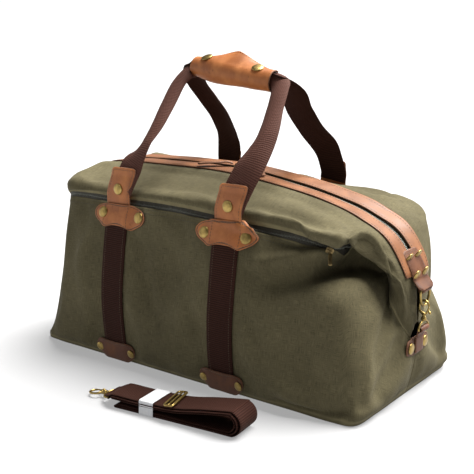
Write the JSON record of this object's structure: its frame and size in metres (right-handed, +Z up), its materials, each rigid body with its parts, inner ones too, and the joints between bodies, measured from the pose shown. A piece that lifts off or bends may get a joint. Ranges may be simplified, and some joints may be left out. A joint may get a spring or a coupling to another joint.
{
  "type": "duffel bag",
  "caption": "Canvas weekend duffel bag with leather trim, zipped top and front pocket, swinging webbing handles joined by a snap wrap, side cinch hooks and a folded shoulder strap.",
  "frame": {"origin": "on the floor under the middle of the bag, measured without the shoulder strap", "axes": "+X towards the bag's right end as seen from the front, -Y towards the front face, +Z up"},
  "size_m": [0.569, 0.389, 0.4029],
  "materials": {
    "canvas": "washed olive cotton canvas",
    "lining": "plain dark lining",
    "board": "stiff fibre board",
    "webbing": "ribbed dark brown cotton webbing",
    "leather": "oiled tan leather with pale cut edges",
    "brass": "antique brass, rubbed bright on the high spots",
    "zip_tape": "woven zip tape",
    "paper": "plain white paper"
  },
  "bodies": {
    "bag": {"front_panel": "canvas", "rear_panel": "canvas", "bottom_panel": "canvas", "bottom_board": "board", "top_gusset_front": "canvas", "top_gusset_rear": "canvas", "pocket_lining": "lining", "zip_tape": "zip_tape", "pocket_zip_tape": "zip_tape", "zip_facing_front": "leather", "zip_facing_rear": "leather", "end_tab_left": "leather", "end_tab_right": "leather", "lower_tab_left": "leather", "lower_tab_right": "leather", "shoulder_strap_hank": "webbing", "paper_band": "paper", "patch_front_left": "leather", "bottom_tab_front_left": "leather", "lower_webbing_front_left": "webbing", "patch_front_right": "leather", "bottom_tab_front_right": "leather", "lower_webbing_front_right": "webbing", "patch_rear_left": "leather", "bottom_tab_rear_left": "leather", "lower_webbing_rear_left": "webbing", "patch_rear_right": "leather", "bottom_tab_rear_right": "leather", "lower_webbing_rear_right": "webbing"},
    "front_handle": {"handle_webbing_front": "webbing", "handle_tab_front_left": "leather", "handle_tab_front_right": "leather", "handle_rivet_front_left": "brass", "handle_rivet_front_right": "brass", "handle_wrap": "leather"},
    "rear_handle": {"handle_webbing_rear": "webbing", "handle_tab_rear_left": "leather", "handle_tab_rear_right": "leather", "handle_rivet_rear_left": "brass", "handle_rivet_rear_right": "brass"},
    "wrap_lid": {"wrap_flap": "leather"},
    "zip_slider_left": {"slider_left": "brass"},
    "zip_pull_left": {"slider_pull_left": "leather"},
    "zip_slider_right": {"slider_right": "brass"},
    "zip_pull_right": {"slider_pull_right": "leather"},
    "pocket_zip_slider": {"pocket_slider": "brass"},
    "pocket_zip_pull": {"pocket_pull": "brass"},
    "adjuster": {"strap_adjuster": "brass"},
    "ring_left": {"d_ring_left": "brass"},
    "hook_eye_left": {"snap_hook_left_eye": "brass"},
    "hook_left": {"snap_hook_left_body": "brass"},
    "hook_gate_left": {"snap_hook_left_gate": "brass"},
    "ring_right": {"d_ring_right": "brass"},
    "hook_eye_right": {"snap_hook_right_eye": "brass"},
    "hook_right": {"snap_hook_right_body": "brass"},
    "hook_gate_right": {"snap_hook_right_gate": "brass"},
    "strap_eye": {"strap_hook_eye": "brass"},
    "strap_hook": {"strap_hook_body": "brass"},
    "strap_gate": {"strap_hook_gate": "brass"}
  },
  "joints": [
    {"name": "front_handle_swing", "type": "hinge", "parent": "bag", "child": "front_handle", "pos_m": [0, -0.128, 0.2185], "axis": [1, 0, 0], "range_deg": [0, 165]},
    {"name": "rear_handle_swing", "type": "hinge", "parent": "bag", "child": "rear_handle", "pos_m": [0, 0.128, 0.2185], "axis": [-1, 0, 0], "range_deg": [0, 165]},
    {"name": "wrap_flap_open", "type": "hinge", "parent": "front_handle", "child": "wrap_lid", "pos_m": [-0.00434, -0.017, 0.3939], "axis": [0.993, 0, -0.1184], "range_deg": [0, 150]},
    {"name": "zip_slider_left_travel", "type": "hinge", "parent": "bag", "child": "zip_slider_left", "pos_m": [-0.0586, 0, -1.1877], "axis": [0, -1, 0], "range_deg": [0, 7.5]},
    {"name": "zip_slider_right_travel", "type": "hinge", "parent": "bag", "child": "zip_slider_right", "pos_m": [-0.0682, 0, -0.7095], "axis": [0, 1, 0], "range_deg": [0, 10.2]},
    {"name": "zip_pull_left_lift", "type": "hinge", "parent": "zip_slider_left", "child": "zip_pull_left", "pos_m": [-0.0072, 0, 0.2618], "axis": [0, 1, 0], "range_deg": [0, 150]},
    {"name": "zip_pull_right_lift", "type": "hinge", "parent": "zip_slider_right", "child": "zip_pull_right", "pos_m": [0.0232, 0, 0.2605], "axis": [0, -1, 0], "range_deg": [0, 150]},
    {"name": "pocket_slider_travel", "type": "hinge", "parent": "bag", "child": "pocket_zip_slider", "pos_m": [0.1104, -0.0196, 0.1218], "axis": [0.0618, -0.6911, -0.7201], "range_deg": [0, 35]},
    {"name": "pocket_pull_lift", "type": "hinge", "parent": "pocket_zip_slider", "child": "pocket_zip_pull", "pos_m": [0.1974, -0.088, 0.19], "axis": [-0.8126, -0.5829, 0], "range_deg": [0, 95]},
    {"name": "hook_left_swing", "type": "hinge", "parent": "bag", "child": "hook_eye_left", "pos_m": [-0.277, 0, 0.0894], "axis": [0, -1, 0], "range_deg": [0, 14.7]},
    {"name": "ring_left_swing", "type": "hinge", "parent": "bag", "child": "ring_left", "pos_m": [-0.277, 0, 0.139], "axis": [0, 1, 0], "range_deg": [0, 20.1]},
    {"name": "hook_left_swivel", "type": "hinge", "parent": "hook_eye_left", "child": "hook_left", "pos_m": [-0.277, 0, 0.102], "axis": [0, 0, 1], "range_deg": [-30, 30]},
    {"name": "hook_left_gate", "type": "hinge", "parent": "hook_left", "child": "hook_gate_left", "pos_m": [-0.28, 0, 0.108], "axis": [0, 1, 0], "range_deg": [0, 24], "stiffness_Nm_per_rad": 0.01},
    {"name": "hook_right_swing", "type": "hinge", "parent": "bag", "child": "hook_eye_right", "pos_m": [0.277, 0, 0.0894], "axis": [0, 1, 0], "range_deg": [0, 14.7]},
    {"name": "ring_right_swing", "type": "hinge", "parent": "bag", "child": "ring_right", "pos_m": [0.277, 0, 0.139], "axis": [0, -1, 0], "range_deg": [0, 20.1]},
    {"name": "hook_right_swivel", "type": "hinge", "parent": "hook_eye_right", "child": "hook_right", "pos_m": [0.277, 0, 0.102], "axis": [0, 0, 1], "range_deg": [-30, 30]},
    {"name": "hook_right_gate", "type": "hinge", "parent": "hook_right", "child": "hook_gate_right", "pos_m": [0.28, 0, 0.108], "axis": [0, -1, 0], "range_deg": [0, 24], "stiffness_Nm_per_rad": 0.01},
    {"name": "strap_hook_lift", "type": "hinge", "parent": "bag", "child": "strap_eye", "pos_m": [-0.0177, -0.2289, 0.0084], "axis": [-0.1213, 0.9926, 0], "range_deg": [0, 60]},
    {"name": "strap_hook_swivel", "type": "hinge", "parent": "strap_eye", "child": "strap_hook", "pos_m": [-0.0297, -0.2304, 0.0068], "axis": [-0.9842, -0.1203, -0.1296], "range_deg": [-25, 25]},
    {"name": "strap_hook_gate", "type": "hinge", "parent": "strap_hook", "child": "strap_gate", "pos_m": [-0.03636, -0.22816, 0.006], "axis": [-0.1287, -0.0157, 0.9916], "range_deg": [0, 24], "stiffness_Nm_per_rad": 0.01},
    {"name": "adjuster_slide", "type": "slide", "parent": "bag", "child": "adjuster", "axis": [0.9733, 0.119, 0.1961], "range_m": [0, 0.01]}
  ],
  "couplings": [
    {"joint": "ring_left_swing", "follows": "hook_left_swing", "ratio": 1.362},
    {"joint": "ring_right_swing", "follows": "hook_right_swing", "ratio": 1.362}
  ]
}
